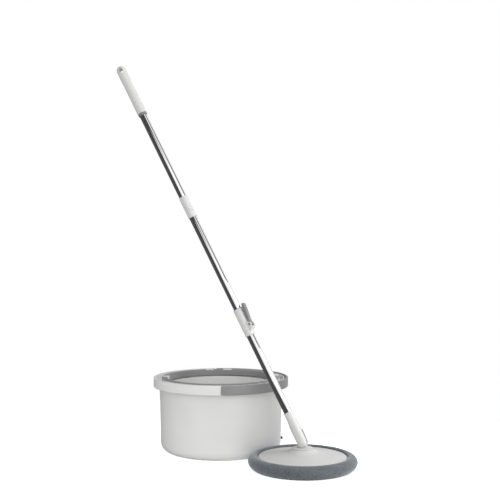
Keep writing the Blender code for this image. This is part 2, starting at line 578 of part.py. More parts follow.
def build_clamp():
    """Collar on the lower tube's top end, with the lever that locks the upper tube."""
    outer, socket, bore, seat = 0.0139, LOWER_R + GAP, UPPER_R + RUN, 0.0129
    outline = [(outer - 0.0006, CLAMP_TOP), (outer, CLAMP_TOP - 0.0006), (outer, CLAMP_LOW + 0.0006),
               (outer - 0.0006, CLAMP_LOW), (socket, CLAMP_LOW), (socket, LOWER_TOP + GAP),
               (bore, LOWER_TOP + GAP), (bore, CLAMP_TOP - 0.0100), (seat, CLAMP_TOP - 0.0100),
               (seat, CLAMP_TOP)]
    clamp = turned("clamp_collar", outline, "white", handle_axis, 36, ring=True)
    centre = (LEVER_PIN_R, LEVER_PIN)
    ear = [(0.0122, LEVER_PIN + 0.0130), (0.0160, LEVER_PIN + 0.0070)]
    ear += arc(centre, 0.0056, 75, -20, 6)
    ear += [(0.0226, LEVER_PIN - 0.0080), (0.0220, LEVER_PIN - 0.0105),
            (0.0185, LEVER_PIN - 0.0128), (0.0122, LEVER_PIN - 0.0180)]
    half_gap, thick = 0.0073, 0.0032
    for side in (-1, 1):
        lug = plate(f"clamp_ear_{side}", ear, thick, None, lever_axis,
                    location=(0, side * (half_gap + thick / 2), 0))
        combine(clamp, "UNION", lug)
    bridge = [(0.0125, LEVER_PIN - 0.0085), (0.0216, LEVER_PIN - 0.0083),
              (0.0214, LEVER_PIN - 0.0101), (0.0181, LEVER_PIN - 0.0122),
              (0.0125, LEVER_PIN - 0.0168)]
    combine(clamp, "UNION", plate("ear_bridge", bridge, 2 * half_gap + 0.001, None, lever_axis))
    window = block("shoe_window", (0.0100, -0.0059, LEVER_PIN - 0.0065),
                   (0.0160, 0.0059, LEVER_PIN + 0.0065), None, lever_axis)
    pin_bore = rod("ear_bore", 0.0027, -0.02, 0.02, "Y", None, lever_axis, 20,
                   location=(LEVER_PIN_R, 0, LEVER_PIN))
    combine(clamp, "DIFFERENCE", window, pin_bore)

    shoe = block("brake_shoe", (0.01145, -0.0055, LEVER_PIN - 0.0060),
                 (0.0123, 0.0055, LEVER_PIN + 0.0060), "dark", lever_axis)
    soften(shoe, 0.0002, 1)
    rod("lever_pin", 0.0024, -0.0111, 0.0111, "Y", "steel", lever_axis, 20,
        location=(LEVER_PIN_R, 0, LEVER_PIN))

    # Lever: its nose is round about the pin, and its free end stands off the collar.
    nose = arc((0, 0), 0.0043, 8, -200, 14)
    back = [(0.0068, LEVER_TIP - LEVER_PIN - 0.0030), (0.0064, 0.0500), (0.0050, 0.0360),
            (0.0041, 0.0240), (0.0039, 0.0140), (0.0042, 0.0060)]
    front = [(-0.0026, 0.0090), (-0.0024, 0.0260), (-0.0012, 0.0410), (0.0012, 0.0530),
             (0.0030, LEVER_TIP - LEVER_PIN - 0.0006), (0.0054, LEVER_TIP - LEVER_PIN)]
    outline = back + nose + front
    lever = plate("clamp_lever", outline, 0.0140, "grey", lever_axis,
                  location=(LEVER_PIN_R, 0, LEVER_PIN))
    lever_bore = rod("lever_bore", 0.0027, -0.02, 0.02, "Y", None, lever_axis, 20,
                     location=(LEVER_PIN_R, 0, LEVER_PIN))
    soften(lever, 0.0010, 2)
    combine(lever, "DIFFERENCE", lever_bore)
    bush = [(0.0126, CLAMP_TOP + 0.0012), (0.0126, CLAMP_TOP - 0.0096),
            (UPPER_R + GAP, CLAMP_TOP - 0.0096), (UPPER_R + GAP, CLAMP_TOP + 0.0012)]
    turned("guide_bush", bush, "dark", handle_axis, 32, ring=True)


# ---------------------------------------------------------------- upper handle
def build_upper_handle():
    tube("middle_tube", UPPER_R, UPPER_WALL, MIDDLE_FOOT, SEAM - GAP / 2, "chrome", handle_axis)
    tube("upper_tube", UPPER_R, UPPER_WALL, SEAM + GAP / 2, UPPER_TOP, "chrome", handle_axis)
    spigot_r = UPPER_R - UPPER_WALL - GAP
    tube("joint_spigot", spigot_r, 0.0015, JOIN_LOW - 0.012, JOIN_TOP + 0.012, "steel",
         handle_axis, 24)
    # The joint's two shells meet along a slanting seam.
    outer, bore = 0.0127, UPPER_R + GAP
    slant, centre = radians(43), 0.726
    for name, low, high, side in (("joint_shell_lower", JOIN_LOW, centre + 0.014, 1),
                                  ("joint_shell_upper", centre - 0.014, JOIN_TOP, -1)):
        outline = [(outer - 0.0007, high), (outer, high - 0.0008), (outer, low + 0.0008),
                   (outer - 0.0007, low), (bore, low), (bore, high)]
        shell = turned(name, outline, "white", handle_axis, 32, ring=True)
        near, far = sorted((-side * GAP / 2, side * 0.06))
        cut = block(f"{name}_cut", (-0.06, -0.04, near), (0.06, 0.04, far), None, handle_axis,
                    location=(0, 0, centre), rotation=(0, slant, 0))
        combine(shell, "DIFFERENCE", cut)

    tube("grip_ring", 0.0130, 0.0130 - UPPER_R - GAP, GRIP_LOW - 0.0070, GRIP_LOW - GAP, "grey",
         handle_axis)
    bore, dome = UPPER_R + GAP, 0.0140
    outline = [(0, GRIP_TOP)]
    outline += arc((0, GRIP_TOP - dome), dome, 75, 0, 5)
    outline += [(0.0142, GRIP_TOP - 0.030), (0.0138, 1.140), (0.0137, 1.100), (0.0140, 1.060),
                (0.0140, GRIP_LOW + 0.0006), (0.0135, GRIP_LOW), (bore, GRIP_LOW),
                (bore, UPPER_TOP + GAP), (0, UPPER_TOP + GAP)]
    grip = turned("grip", outline, "white", handle_axis, 32)
    half_long, half_wide = 0.0085, 0.0050
    rounds = arc((0, half_long - half_wide), half_wide, 0, 180, 8)
    rounds += arc((0, half_wide - half_long), half_wide, 180, 360, 8)
    hole = plate("hanging_hole", rounds, 0.05, None, handle_axis, location=(0, 0, HOLE_AT),
                 rotation=(0, 0, HOLE_TURN))
    combine(grip, "DIFFERENCE", hole)


build_bucket_shell()
build_bail()
build_splash_ring()
build_basket()
build_drain()
build_pad()
build_plate()
build_hub()
build_neck()
build_drive()
build_clamp()
build_upper_handle()
bpy.context.view_layer.update()
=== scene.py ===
import json
from math import atan2, cos, pi, radians, sin

import bmesh
import bpy
from mathutils import Matrix, Vector, noise


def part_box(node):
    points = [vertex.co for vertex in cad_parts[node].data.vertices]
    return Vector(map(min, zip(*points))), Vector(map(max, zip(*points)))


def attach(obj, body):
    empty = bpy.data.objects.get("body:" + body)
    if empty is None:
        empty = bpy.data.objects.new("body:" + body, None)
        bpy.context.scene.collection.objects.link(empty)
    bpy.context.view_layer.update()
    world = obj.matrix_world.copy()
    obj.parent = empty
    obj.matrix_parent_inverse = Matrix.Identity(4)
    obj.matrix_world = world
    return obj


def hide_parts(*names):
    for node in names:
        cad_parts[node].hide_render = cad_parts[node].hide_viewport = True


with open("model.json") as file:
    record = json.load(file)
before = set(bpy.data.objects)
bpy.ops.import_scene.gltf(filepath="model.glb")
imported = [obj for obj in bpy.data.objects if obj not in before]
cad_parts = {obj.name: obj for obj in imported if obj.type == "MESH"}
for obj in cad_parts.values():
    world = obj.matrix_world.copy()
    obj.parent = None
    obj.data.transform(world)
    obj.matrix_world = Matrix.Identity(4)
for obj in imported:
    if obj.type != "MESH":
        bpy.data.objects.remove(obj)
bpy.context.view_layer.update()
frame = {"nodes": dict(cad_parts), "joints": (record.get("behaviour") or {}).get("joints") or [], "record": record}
print("frame loaded")

mm = 0.001
joints = {joint["name"]: joint for joint in frame["joints"]}
forkPin = Vector(joints["head_tilt"]["pos_m"])
tiltAxis = Vector(joints["head_tilt"]["axis"]).normalized()
handleUp = -Vector(joints["pump"]["axis"]).normalized()
leverAxis = Vector(joints["lever_turn"]["axis"]).normalized()
leverPin = Vector(joints["lever_turn"]["pos_m"])
bailAxis = Vector(joints["bail_fold"]["axis"])
bailHeight = joints["bail_fold"]["pos_m"][2]


def axesAt(origin, sideways, upward):
    # a frame with Z along upward, Y along sideways and X square to both
    y, z = sideways.normalized(), upward.normalized()
    x = y.cross(z)
    made = Matrix((x, y, z)).transposed().to_4x4()
    made.translation = origin
    return made


bucketFrame = Matrix.Rotation(atan2(bailAxis.x, -bailAxis.y), 4, "Z")
headFrame = axesAt((forkPin.x, forkPin.y, 0), tiltAxis, Vector((0, 0, 1)))
handleFrame = axesAt(forkPin, tiltAxis, handleUp)
leverFrame = axesAt(forkPin, leverAxis, handleUp)
worldFrame = Matrix.Identity(4)
pinOut = (leverPin - forkPin).dot(leverFrame.col[0].to_3d())
pinUp = (leverPin - forkPin).dot(handleUp)


def span(node):
    # where a handle piece starts and ends along the handle, from the fork pin
    along = [(v.co - forkPin).dot(handleUp) for v in frame["nodes"][node].data.vertices]
    return min(along), max(along)


def reach(node):
    # how far a handle piece stands off the handle's middle line
    away = []
    for vert in frame["nodes"][node].data.vertices:
        offset = vert.co - forkPin
        away.append((offset - handleUp * offset.dot(handleUp)).length)
    return max(away)


# Colours and material nodes

def linear(hexCode):
    parts = [int(hexCode[i:i + 2], 16) / 255 for i in (1, 3, 5)]
    return (*[c / 12.92 if c <= 0.04045 else ((c + 0.055) / 1.055) ** 2.4 for c in parts], 1.0)


def addNode(tree, kind, inputs=None, **settings):
    made = tree.nodes.new(kind)
    for name, value in settings.items():
        setattr(made, name, value)
    for socket, value in (inputs or {}).items():
        if isinstance(value, bpy.types.NodeSocket):
            tree.links.new(value, made.inputs[socket])
        else:
            made.inputs[socket].default_value = value
    return made


def startMaterial(name):
    material = bpy.data.materials.new(name)
    material.use_nodes = True
    tree = material.node_tree
    tree.nodes.clear()
    surface = addNode(tree, "ShaderNodeBsdfPrincipled")
    addNode(tree, "ShaderNodeOutputMaterial", {"Surface": surface.outputs[0]})
    place = addNode(tree, "ShaderNodeTexCoord").outputs["Object"]
    return material, tree, surface, place


def mouldedPolypropylene(name, light, dark, roughness, grain):
    # Injection moulded PP: an even satin skin, a faint cloud from the melt's flow, and the
    # fine spark-eroded grain of the tool, drawn coarser than the real 0.1 mm so that it shows.
    material, tree, surface, place = startMaterial(name)
    cloud = addNode(tree, "ShaderNodeTexNoise", {"Vector": place, "Scale": 1 / (60 * mm),
                                                 "Detail": 2.0, "Roughness": 0.45})
    tint = addNode(tree, "ShaderNodeMixRGB", {"Fac": cloud.outputs["Fac"],
                                              "Color1": linear(dark), "Color2": linear(light)})
    skin = addNode(tree, "ShaderNodeTexNoise", {"Vector": place, "Scale": 1 / (1.2 * mm),
                                                "Detail": 3.0, "Roughness": 0.6})
    gloss = addNode(tree, "ShaderNodeMapRange", {"Value": skin.outputs["Fac"], "From Min": 0.3,
                                                 "From Max": 0.7, "To Min": roughness - 0.05,
                                                 "To Max": roughness + 0.06})
    relief = addNode(tree, "ShaderNodeBump", {"Height": skin.outputs["Fac"], "Strength": grain,
                                              "Distance": 0.02 * mm})
    tree.links.new(tint.outputs[0], surface.inputs["Base Color"])
    tree.links.new(gloss.outputs[0], surface.inputs["Roughness"])
    tree.links.new(relief.outputs[0], surface.inputs["Normal"])
    surface.inputs["IOR"].default_value = 1.49
    return material


def chromedTube():
    # Drawn steel tube, bright chromed: a mirror that smears along the tube, with hair-fine
    # draw lines about 0.4 mm apart, drawn 1 mm apart, and a little uneven haze.
    material, tree, surface, place = startMaterial("chromed drawn steel")
    stretched = addNode(tree, "ShaderNodeMapping", {"Vector": place, "Scale": (1.0, 1.0, 0.012)})
    lines = addNode(tree, "ShaderNodeTexNoise", {"Vector": stretched.outputs[0],
                                                 "Scale": 1 / (1.0 * mm), "Detail": 3.0})
    haze = addNode(tree, "ShaderNodeTexNoise", {"Vector": place, "Scale": 1 / (35 * mm)})
    shade = addNode(tree, "ShaderNodeMixRGB", {"Fac": lines.outputs["Fac"],
                                               "Color1": linear("#d2d3d5"),
                                               "Color2": linear("#f1f1f2")})
    gloss = addNode(tree, "ShaderNodeMapRange", {"Value": haze.outputs["Fac"], "To Min": 0.05,
                                                 "To Max": 0.13})
    relief = addNode(tree, "ShaderNodeBump", {"Height": lines.outputs["Fac"], "Strength": 0.12,
                                              "Distance": 0.04 * mm})
    tree.links.new(shade.outputs[0], surface.inputs["Base Color"])
    tree.links.new(gloss.outputs[0], surface.inputs["Roughness"])
    tree.links.new(relief.outputs[0], surface.inputs["Normal"])
    surface.inputs["Metallic"].default_value = 1.0
    return material


def turnedSteel():
    # Plain steel turned on a lathe: greyer and duller than the chrome, with a soft grain.
    material, tree, surface, place = startMaterial("turned plain steel")
    grain = addNode(tree, "ShaderNodeTexNoise", {"Vector": place, "Scale": 1 / (0.8 * mm),
                                                 "Detail": 4.0})
    shade = addNode(tree, "ShaderNodeMixRGB", {"Fac": grain.outputs["Fac"],
                                               "Color1": linear("#9a9b9d"),
                                               "Color2": linear("#c4c5c7")})
    gloss = addNode(tree, "ShaderNodeMapRange", {"Value": grain.outputs["Fac"], "To Min": 0.22,
                                                 "To Max": 0.42})
    tree.links.new(shade.outputs[0], surface.inputs["Base Color"])
    tree.links.new(gloss.outputs[0], surface.inputs["Roughness"])
    surface.inputs["Metallic"].default_value = 1.0
    return material


def mouldedRubber():
    # Black moulded rubber and nylon: nearly matt, with a dusty cast on its raised grain.
    material, tree, surface, place = startMaterial("moulded black rubber")
    dust = addNode(tree, "ShaderNodeTexNoise", {"Vector": place, "Scale": 1 / (3 * mm),
                                                "Detail": 4.0})
    shade = addNode(tree, "ShaderNodeMixRGB", {"Fac": dust.outputs["Fac"],
                                               "Color1": linear("#202122"),
                                               "Color2": linear("#3a3b3d")})
    relief = addNode(tree, "ShaderNodeBump", {"Height": dust.outputs["Fac"], "Strength": 0.2,
                                              "Distance": 0.1 * mm})
    tree.links.new(shade.outputs[0], surface.inputs["Base Color"])
    tree.links.new(relief.outputs[0], surface.inputs["Normal"])
    surface.inputs["Roughness"].default_value = 0.7
    return material


def microfibrePile():
    # Short chenille microfibre: tufts about 3 mm across with painted light on their tips and painted
    # shade between them, a fibre grain over them, and the soft bright edge of a velvet.
    material, tree, surface, place = startMaterial("slate microfibre pile")
    tufts = addNode(tree, "ShaderNodeTexVoronoi", {"Vector": place, "Scale": 1 / (3.2 * mm),
                                                   "Randomness": 1.0}, feature="SMOOTH_F1")
    fibres = addNode(tree, "ShaderNodeTexNoise", {"Vector": place, "Scale": 1 / (1.1 * mm),
                                                  "Detail": 4.0, "Roughness": 0.7})
    brushed = addNode(tree, "ShaderNodeTexNoise", {"Vector": place, "Scale": 1 / (28 * mm),
                                                   "Detail": 2.0})
    # painted light and shade: the colour runs from a lit tuft tip to a shaded gap between tufts
    depth = addNode(tree, "ShaderNodeMath", {0: tufts.outputs["Distance"],
                                             1: fibres.outputs["Fac"]}, operation="MULTIPLY")
    tipLightGapShade = addNode(tree, "ShaderNodeValToRGB", {"Fac": depth.outputs[0]})
    tipLightGapShade.color_ramp.elements[0].position = 0.05
    tipLightGapShade.color_ramp.elements[0].color = linear("#6a7075")
    tipLightGapShade.color_ramp.elements[1].position = 0.55
    tipLightGapShade.color_ramp.elements[1].color = linear("#3c4145")
    lay = addNode(tree, "ShaderNodeMapRange", {"Value": brushed.outputs["Fac"], "From Min": 0.3,
                                               "From Max": 0.7, "To Min": 0.0, "To Max": 0.22})
    shade = addNode(tree, "ShaderNodeMixRGB", {"Fac": lay.outputs[0], "Color1": tipLightGapShade.outputs[0],
                                               "Color2": linear("#7c8287")})
    coarse = addNode(tree, "ShaderNodeBump", {"Height": tufts.outputs["Distance"],
                                              "Strength": 0.5, "Distance": 0.8 * mm},
                     invert=True)
    fine = addNode(tree, "ShaderNodeBump", {"Height": fibres.outputs["Fac"], "Strength": 0.5,
                                            "Distance": 0.35 * mm,
                                            "Normal": coarse.outputs[0]})
    tree.links.new(shade.outputs[0], surface.inputs["Base Color"])
    tree.links.new(fine.outputs[0], surface.inputs["Normal"])
    surface.inputs["Roughness"].default_value = 0.95
    surface.inputs["Sheen Weight"].default_value = 1.0
    surface.inputs["Sheen Roughness"].default_value = 0.45
    surface.inputs["Sheen Tint"].default_value = linear("#c9d0d4")
    return material


def hookCloth():
    # Hook and loop backing: a woven ground with rows of stiff hooks 1.5 mm apart.
    material, tree, surface, place = startMaterial("woven hook and loop")
    rows = addNode(tree, "ShaderNodeTexWave", {"Vector": place, "Scale": 1 / (3 * mm) / 6.28,
                                               "Distortion": 1.5, "Detail": 2.0})
    shade = addNode(tree, "ShaderNodeMixRGB", {"Fac": rows.outputs["Fac"],
                                               "Color1": linear("#8b8f92"),
                                               "Color2": linear("#b5b8ba")})
    relief = addNode(tree, "ShaderNodeBump", {"Height": rows.outputs["Fac"], "Strength": 0.5,
                                              "Distance": 0.4 * mm})
    tree.links.new(shade.outputs[0], surface.inputs["Base Color"])
    tree.links.new(relief.outputs[0], surface.inputs["Normal"])
    surface.inputs["Roughness"].default_value = 0.9
    surface.inputs["Sheen Weight"].default_value = 0.3
    return material


finishes = {
    "white_plastic": mouldedPolypropylene("white polypropylene", "#e6e6e5", "#dededd", 0.36, 0.10),
    "pale_plastic": mouldedPolypropylene("pale polypropylene", "#dadad9", "#cfcfce", 0.42, 0.14),
    "grey_plastic": mouldedPolypropylene("grey polypropylene", "#929292", "#868686", 0.44, 0.18),
    "dark_rubber": mouldedRubber(),
    "chromed_tube": chromedTube(),
    "plain_steel": turnedSteel(),
    "microfibre_pile": microfibrePile(),
    "hook_cloth": hookCloth(),
}
slotOf = {row["node"]: row["material_slot"] for row in frame["record"]["subparts"]}
bodyOf = {node: body for body, nodes in frame["record"]["behaviour"]["bodies"].items()
          for node in nodes}
print("materials made")


# Shapes

def arc(centre, radius, start, end, steps):
    turns = [radians(start + (end - start) * i / steps) for i in range(steps + 1)]
    return [(centre[0] + radius * cos(t), centre[1] + radius * sin(t)) for t in turns]


def eased(outline, radius, closed=True, steps=4):
    # rounds every real corner of an outline by the radius, or by what its sides leave room for
    made = []
    count = len(outline)
    for i, corner in enumerate(outline):
        if not closed and i in (0, count - 1):
            made.append(corner)
            continue
        here = Vector(corner)
        back, ahead = Vector(outline[i - 1]) - here, Vector(outline[(i + 1) % count]) - here
        if abs(pi - back.angle(ahead, pi)) < radians(14):
            made.append(corner)
            continue
        start = here + back.normalized() * min(radius, back.length * 0.45)
        end = here + ahead.normalized() * min(radius, ahead.length * 0.45)
        for step in range(steps + 1):
            t = step / steps
            point = start * (1 - t) ** 2 + here * 2 * t * (1 - t) + end * t * t
            made.append((point.x, point.y))
    return made


def settle(piece, where=worldFrame):
    # applies the piece's modifiers and removes its cutters, then puts it in its frame
    bpy.context.view_layer.update()
    tools = [m.object for m in piece.modifiers if m.type == "BOOLEAN"]
    ready = piece.evaluated_get(bpy.context.evaluated_depsgraph_get())
    mesh = bpy.data.meshes.new_from_object(ready)
    piece.modifiers.clear()
    piece.data = mesh
    for tool in tools:
        bpy.data.objects.remove(tool, do_unlink=True)
    mesh.shade_smooth()
    mesh.set_sharp_from_angle(angle=radians(32))
    piece.matrix_world = where
    return piece


def objectFrom(shape, name):
    mesh = bpy.data.meshes.new(name)
    shape.to_mesh(mesh)
    shape.free()
    made = bpy.data.objects.new(name, mesh)
    bpy.context.scene.collection.objects.link(made)
    return made


def turned(name, outline, steps=64, closed=False):
    mesh = bpy.data.meshes.new(name)
    edges = [(i, i + 1) for i in range(len(outline) - 1)]
    if closed:
        edges.append((len(outline) - 1, 0))
    mesh.from_pydata([(r, 0, z) for r, z in outline], edges, [])
    made = bpy.data.objects.new(name, mesh)
    bpy.context.scene.collection.objects.link(made)
    screw = made.modifiers.new("turn", "SCREW")
    screw.steps = screw.render_steps = steps
    screw.use_merge_vertices = True
    screw.merge_threshold = 0.00001
    bpy.context.view_layer.update()
    ready = made.evaluated_get(bpy.context.evaluated_depsgraph_get())
    made.data = bpy.data.meshes.new_from_object(ready)
    made.modifiers.clear()
    return made


def slab(name, outline, thickness, bevel=0.0, turn=0.0):
    # a flat outline of (x, z), thickened along Y, with its edges rounded
    shape = bmesh.new()
    corners = [shape.verts.new((x, -thickness / 2, z)) for x, z in outline]
    face = shape.faces.new(corners)
    grown = bmesh.ops.extrude_face_region(shape, geom=[face])
    moved = [v for v in grown["geom"] if isinstance(v, bmesh.types.BMVert)]
    bmesh.ops.translate(shape, verts=moved, vec=(0, thickness, 0))
    bmesh.ops.recalc_face_normals(shape, faces=shape.faces)
    if bevel:
        rims = [e for e in shape.edges if abs(e.verts[0].co.y - e.verts[1].co.y) < 1e-7]
        bmesh.ops.bevel(shape, geom=rims, offset=bevel, segments=3, profile=0.5,
                        affect="EDGES", clamp_overlap=True)
    bmesh.ops.rotate(shape, verts=shape.verts, cent=(0, 0, 0),
                     matrix=Matrix.Rotation(turn, 3, "Z"))
    return objectFrom(shape, name)


def swept(name, outline, start, sweep, steps):
    shape = bmesh.new()
    corners = [shape.verts.new((r * cos(start), r * sin(start), z)) for r, z in outline]
    face = shape.faces.new(corners)
    bmesh.ops.spin(shape, geom=[face, *face.verts, *face.edges], cent=(0, 0, 0),
                   axis=(0, 0, 1), angle=sweep, steps=steps)
    bmesh.ops.recalc_face_normals(shape, faces=shape.faces)
    return objectFrom(shape, name)


def cylinder(name, radius, low, high, axis="Z", at=(0, 0, 0), steps=48):
    shape = bmesh.new()
    bmesh.ops.create_cone(shape, cap_ends=True, segments=steps, radius1=radius, radius2=radius,
                          depth=high - low)
    bmesh.ops.translate(shape, verts=shape.verts, vec=(0, 0, (low + high) / 2))
    turn = {"X": Matrix.Rotation(pi / 2, 3, "Y"), "Y": Matrix.Rotation(-pi / 2, 3, "X"),
            "Z": Matrix.Identity(3)}[axis]
    bmesh.ops.rotate(shape, verts=shape.verts, matrix=turn)
    bmesh.ops.translate(shape, verts=shape.verts, vec=at)
    return objectFrom(shape, name)


def brick(name, low, high, turn=0.0):
    shape = bmesh.new()
    middle = [(a + b) / 2 for a, b in zip(low, high)]
    size = [b - a for a, b in zip(low, high)]
    bmesh.ops.create_cube(shape, size=1,
                          matrix=Matrix.Translation(middle) @ Matrix.Diagonal((*size, 1)))
    bmesh.ops.rotate(shape, verts=shape.verts, cent=(0, 0, 0),
                     matrix=Matrix.Rotation(turn, 3, "Z"))
    return objectFrom(shape, name)


def work(target, how, *tools):
    for tool in tools:
        step = target.modifiers.new(how, "BOOLEAN")
        step.operation = how
        step.object = tool
        step.solver = "EXACT"
    return target


ridden = []     # every visible piece with the body that it rides on


def standIn(piece, *nodes, slot=None):
    # a finer piece takes the place of CAD nodes, on their body and in their finish
    ridden.append((piece, bodyOf[nodes[0]]))
    piece.data.materials.clear()
    piece.data.materials.append(finishes[slot or slotOf[nodes[0]]])
    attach(piece, bodyOf[nodes[0]])
    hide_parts(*nodes)
    return piece


# Bucket

bucket = {
    "steps": 144,
    "wall": 2.6 * mm,
    "bodyFoot": 179.2 * mm,     # outside of the body, above its foot's rounding
    "bodyTop": 183.1 * mm,
    "footFillet": 25 * mm,
    "lipInside": 173.7 * mm,
    "lipTop": 213.5 * mm,
    "troughFloor": 193.0 * mm,
    "underRim": 186.8 * mm,
    "backBand": 190.0 * mm,     # narrow band behind the bail
    "wideBand": 201.2 * mm,     # outside of the rim's left half, and of the bail
    "bandWall": 2.5 * mm,
    "rimTop": 215.5 * mm,
    "edge": 0.9 * mm,           # rounding of the moulded edges
    "tabAngles": (radians(80.5), radians(99.5)),
    "tabWidth": 29 * mm,
}
rimRadius, rimTop = bucket["wideBand"], bucket["rimTop"]


def makeBucket():
    b = bucket
    lipOut = b["lipInside"] + b["bandWall"]
    fillet = b["footFillet"] - b["wall"]
    bodyFoot, bodyTop = b["bodyFoot"], b["bodyTop"]
    inFoot, inTop = bodyFoot - b["wall"], bodyTop - b["wall"]
    rim = [(inTop, b["underRim"] - 2 * mm), (b["lipInside"], b["underRim"] + 3 * mm),
           (b["lipInside"], b["lipTop"]), (lipOut, b["lipTop"]), (lipOut, b["troughFloor"]),
           (b["backBand"] - b["bandWall"], b["troughFloor"]),
           (b["backBand"] - b["bandWall"], b["lipTop"]), (b["backBand"], b["lipTop"]),
           (b["backBand"], b["underRim"] + 3 * mm), (bodyTop, b["underRim"])]
    outline = [(0, 3.4 * mm)]
    outline += arc((inFoot - fillet, 3.4 * mm + fillet), fillet, -90, 0, 12)
    outline += eased([outline[-1], *rim, (bodyFoot, b["footFillet"])], b["edge"], False)[1:-1]
    outline += arc((bodyFoot - b["footFillet"], b["footFillet"]), b["footFillet"], 0, -90, 14)
    outline += [(0, 0)]
    shell = turned("bucketShell", outline, b["steps"])

    start, sweep = radians(92.9), radians(174.2)
    inside = rimRadius - 3 * mm
    band = [(rimRadius, rimTop), (rimRadius, b["underRim"] + 3.5 * mm),
            (rimRadius - 2.5 * mm, b["underRim"] + 1 * mm),
            (185 * mm, b["underRim"] + 3 * mm), (185 * mm, b["troughFloor"]),
            (inside, b["troughFloor"]), (inside, rimTop)]
    trough = [(inside, 0.23), (inside, b["troughFloor"] + 0.2 * mm),
              (lipOut + 0.2 * mm, b["troughFloor"] + 0.2 * mm), (lipOut + 0.2 * mm, 0.23)]
    work(shell, "UNION", swept("wideBand", eased(band, b["edge"]), start, sweep, 91))
    work(shell, "DIFFERENCE", swept("wideTrough", trough, start + 0.012, sweep - 0.024, 91))
    for angle in b["tabAngles"]:
        half = b["tabWidth"] / 2 / b["lipInside"] - 0.004
        outer, inner = lipOut - 0.3 * mm, b["lipInside"] + 0.3 * mm
        tab = [(outer, rimTop + 1.2 * mm), (outer, b["lipTop"] - 3 * mm),
               (inner, b["lipTop"] - 3 * mm), (inner, rimTop + 1.2 * mm)]
        work(shell, "UNION", swept("lipTab", eased(tab, 0.6 * mm), angle - half, 2 * half, 12))
    drainHeight = sum(corner.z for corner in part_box("drain_plug")) / 2
    hole = cylinder("drainHole", 3.7 * mm, 0.17, 0.195, "X", (0, 0, drainHeight))
    hole.data.transform(bucketFrame.inverted())
    studs = [cylinder("studHole", 2.5 * mm, 0.183, 0.194, "Y", (0, 0, bailHeight)),
             cylinder("studHole", 2.5 * mm, -0.194, -0.183, "Y", (0, 0, bailHeight))]
    work(shell, "DIFFERENCE", hole, *studs)
    return standIn(settle(shell, bucketFrame), "bucket_shell")


bail = {"inside": 194 * mm, "low": 188.8 * mm, "endRound": 8 * mm, "edge": 2.2 * mm,
        "bore": 3.4 * mm}


def makeBail():
    section = [(rimRadius, rimTop), (rimRadius, bail["low"]), (bail["inside"], bail["low"]),
               (bail["inside"], rimTop)]
    reachBack = radians(2.5)
    ring = swept("bail", eased(section, bail["edge"]), -pi / 2 - reachBack, pi + 2 * reachBack,
                 100)
    left = -8.9 * mm
    ends = eased([(left, bail["low"]), (0.25, bail["low"]), (0.25, rimTop), (left, rimTop)],
                 bail["endRound"], steps=8)
    work(ring, "INTERSECT", slab("bailEnds", ends, 0.45))
    work(ring, "DIFFERENCE", cylinder("bailBore", bail["bore"], -0.22, 0.22, "Y",
                                      (0, 0, bailHeight)))
    return standIn(settle(ring, bucketFrame), "bail")


def makeSplashRing():
    b = bucket
    inside, low = 161.4 * mm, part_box("splash_ring")[0].z
    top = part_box("splash_ring")[1].z
    skirt, wall, under = b["lipInside"] - 0.4 * mm, 2.1 * mm, top - 4.5 * mm
    outline = [(b["lipInside"] + 3 * mm, top), (b["lipInside"] + 3 * mm, b["lipTop"] + 0.3 * mm),
               (skirt, b["lipTop"] + 0.3 * mm), (skirt, low + 5 * mm),
               (skirt - 2 * mm, low + 5 * mm), (skirt - 2 * mm, under), (inside + wall, under),
               (inside + wall, low), (inside, low), (inside + 0.6 * mm, top)]
    ring = turned("splashRing", eased(outline, 1.1 * mm), b["steps"], True)
    for angle in b["tabAngles"]:
        half = b["tabWidth"] / 2 / b["lipInside"]
        outer, back = b["lipInside"] + 8.5 * mm, inside - 5 * mm
        notch = [(outer, top + 6 * mm), (outer, top - 3.2 * mm),
                 (b["lipInside"] - 6.5 * mm, top - 3.2 * mm), (back, top - 2.4 * mm),
                 (back, top + 6 * mm)]
        work(ring, "DIFFERENCE", swept("ringNotch", notch, angle - half, 2 * half, 12))
    standIn(settle(ring, bucketFrame), "splash_ring")

    face = inside - 0.9 * mm
    hook = [(face - 5.9 * mm, top + 2.2 * mm), (face - 6.1 * mm, top - 10 * mm),
            (face - 3.3 * mm, top - 10.8 * mm), (face, top - 6 * mm), (face, top + 0.3 * mm),
            (b["lipInside"] - 0.5 * mm, top + 0.3 * mm),
            (b["lipInside"] + 0.1 * mm, top + 2.2 * mm)]
    for node, turn in (("ring_clip_right", 0.0), ("ring_clip_left", pi)):
        clip = slab(node + "_fine", eased(hook, 1 * mm), 18 * mm, 0.8 * mm, turn)
        standIn(settle(clip, bucketFrame), node)


def makeBasket():
    low, top = 84 * mm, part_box("spin_basket")[1].z
    outside, bore, thick = 159 * mm, 8.8 * mm, 2.4 * mm
    foot, fillet = outside - 4.5 * mm, 10 * mm
    outline = [(bore, 80.7 * mm), (bore, 96.5 * mm), (16 * mm, 96.5 * mm),
               (17 * mm, low + thick)]
    outline += arc((foot - thick - fillet, low + thick + fillet), fillet, -90, 0, 8)
    outline += eased([outline[-1], (outside - 2.2 * mm, top), (outside, top), (foot, 0.095)],
                     0.8 * mm, False)[1:-1]
    outline += arc((foot - fillet - 1 * mm, low + fillet + 1 * mm), fillet + 1 * mm, 0, -90, 8)
    outline += [(17 * mm, low), (16 * mm, 80.7 * mm)]
    basket = turned("spinBasket", outline, bucket["steps"], True)
    for number in range(12):
        long = eased([(50 * mm, -4 * mm), (125 * mm, -4 * mm), (125 * mm, 4 * mm),
                      (50 * mm, 4 * mm)], 3.9 * mm)
        slot = slab("basketSlot", long, 40 * mm)
        slot.data.transform(Matrix.Rotation(2 * pi * (number + 0.5) / 12, 4, "Z")
                            @ Matrix.Translation((0, 0, low))
                            @ Matrix.Rotation(pi / 2, 4, "X"))
        work(basket, "DIFFERENCE", slot)
    return standIn(settle(basket, bucketFrame), "spin_basket")


makeBucket()
makeBail()
makeSplashRing()
makeBasket()
print("bucket made")


# Mop head

